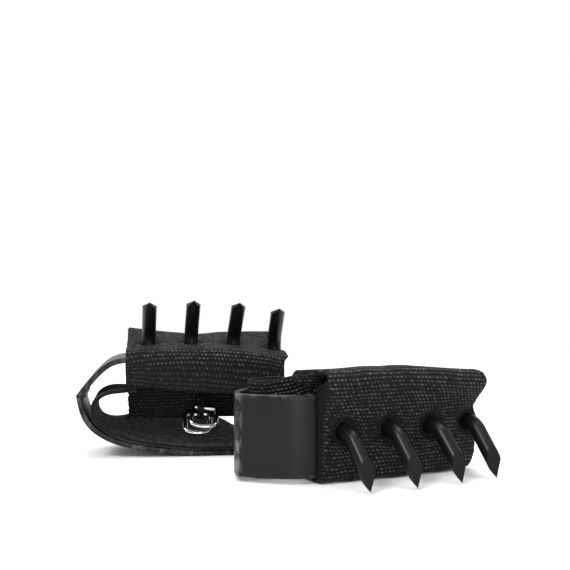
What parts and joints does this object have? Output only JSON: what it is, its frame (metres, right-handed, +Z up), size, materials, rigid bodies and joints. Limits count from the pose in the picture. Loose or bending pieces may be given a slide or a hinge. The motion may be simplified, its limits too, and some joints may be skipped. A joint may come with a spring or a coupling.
{
  "type": "hand claw grips",
  "caption": "Hand claw grips: closed steel bands with hooked claws across the palm, webbing sleeves, folded inner straps, and D-rings on hinged heel panels.",
  "frame": {"origin": "centre of the pair's bounding box, on the surface that it rests on", "axes": "+X to the right, from the lying grip to the standing grip; +Y away from the viewer; +Z up"},
  "size_m": [0.1798, 0.1224, 0.0688],
  "materials": {
    "band_steel": "semi-gloss black, scuffed at the corner and edges",
    "claw_steel": "semi-gloss black, worn at the points",
    "weld_steel": "painted over, uneven satin",
    "webbing": "heavy ribbed black webbing",
    "thread": "black polyester thread",
    "ring_chrome": "bright plated wire"
  },
  "bodies": {
    "left_grip": {"left_hand_band": "band_steel", "left_seam_weld": "weld_steel", "left_claw_1": "claw_steel", "left_claw_2": "claw_steel", "left_claw_3": "claw_steel", "left_claw_4": "claw_steel", "left_claw_welds": "weld_steel", "left_palm_sleeve": "webbing", "left_sleeve_stitching": "thread", "left_strap_loop": "webbing"},
    "left_heel": {"left_heel_panel": "webbing", "left_ring_tab": "webbing", "left_tab_stitching": "thread"},
    "left_ring_lower": {"left_d_ring_lower": "ring_chrome"},
    "left_ring_upper": {"left_d_ring_upper": "ring_chrome"},
    "right_grip": {"right_hand_band": "band_steel", "right_seam_weld": "weld_steel", "right_claw_1": "claw_steel", "right_claw_2": "claw_steel", "right_claw_3": "claw_steel", "right_claw_4": "claw_steel", "right_claw_welds": "weld_steel", "right_palm_sleeve": "webbing", "right_sleeve_stitching": "thread", "right_strap_loop": "webbing"},
    "right_heel": {"right_heel_panel": "webbing", "right_ring_tab": "webbing", "right_tab_stitching": "thread"},
    "right_ring_lower": {"right_d_ring_lower": "ring_chrome"},
    "right_ring_upper": {"right_d_ring_upper": "ring_chrome"}
  },
  "joints": [
    {"name": "left_heel_swing", "type": "hinge", "parent": "left_grip", "child": "left_heel", "pos_m": [-0.03378, 0.02935, 0.0292], "axis": [-0.9903, -0.1392, 0], "range_deg": [0, 30]},
    {"name": "left_ring_lower_swing", "type": "hinge", "parent": "left_heel", "child": "left_ring_lower", "pos_m": [-0.03464, 0.02539, 0.0168], "axis": [-0.9903, -0.1392, 0], "range_deg": [-30, 20]},
    {"name": "left_ring_upper_swing", "type": "hinge", "parent": "left_heel", "child": "left_ring_upper", "pos_m": [-0.03081, 0.0233, 0.02], "axis": [-0.9932, -0.0298, 0.1125], "range_deg": [-30, 20]},
    {"name": "right_grip_lift", "type": "slide", "parent": "left_grip", "child": "right_grip", "axis": [0, 0, 1], "range_m": [0, 0.12]},
    {"name": "right_heel_swing", "type": "hinge", "parent": "right_grip", "child": "right_heel", "pos_m": [0.04148, -0.01648, 0.0181], "axis": [-0.9157, -0.4019, 0], "range_deg": [0, 30]},
    {"name": "right_ring_lower_swing", "type": "hinge", "parent": "right_heel", "child": "right_ring_lower", "pos_m": [0.03521, -0.00569, 0.0143], "axis": [-0.9157, -0.4019, 0], "range_deg": [-30, 20]},
    {"name": "right_ring_upper_swing", "type": "hinge", "parent": "right_heel", "child": "right_ring_upper", "pos_m": [0.0397, -0.00721, 0.0117], "axis": [-0.8592, -0.5, 0.1087], "range_deg": [-30, 20]}
  ],
  "couplings": [
    {"joint": "left_ring_upper_swing", "follows": "left_ring_lower_swing", "ratio": 1},
    {"joint": "right_ring_upper_swing", "follows": "right_ring_lower_swing", "ratio": 1}
  ]
}
